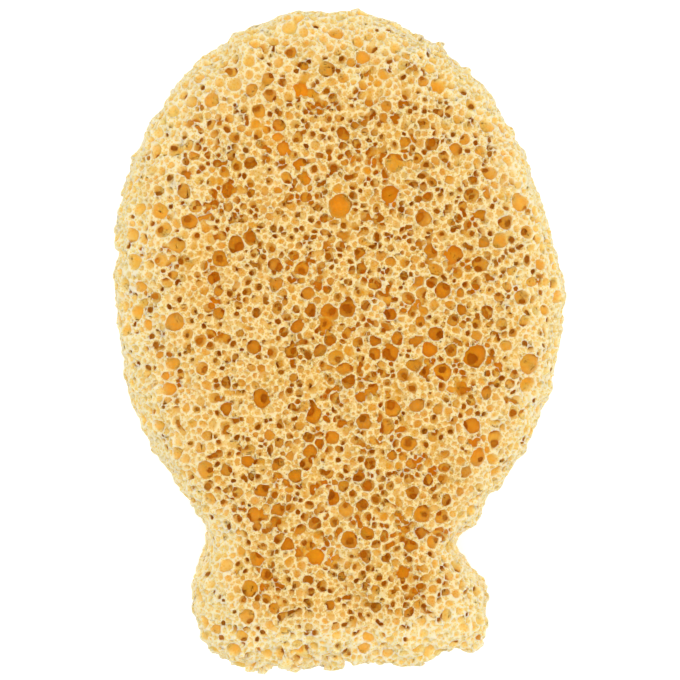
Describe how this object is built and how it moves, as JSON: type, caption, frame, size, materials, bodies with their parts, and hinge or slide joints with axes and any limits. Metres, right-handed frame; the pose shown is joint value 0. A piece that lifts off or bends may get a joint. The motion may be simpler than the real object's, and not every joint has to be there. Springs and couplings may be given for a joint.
{
  "type": "bath sponge",
  "caption": "Hand-sized bath sponge of golden open-cell foam, egg-shaped with a pinched waist to hold and a flared foot.",
  "frame": {"origin": "middle of the bounding box at its lowest level, which is the flat back the sponge lies on", "axes": "+Y from the foot along the length to the crown, +X to the right seen from above the face, +Z out of the face"},
  "size_m": [0.0962, 0.14, 0.044],
  "materials": {
    "foam": "matte open-cell foam, golden in its pores and pale cream on the rims between them"
  },
  "bodies": {
    "root": {"sponge": "foam"}
  },
  "joints": []
}
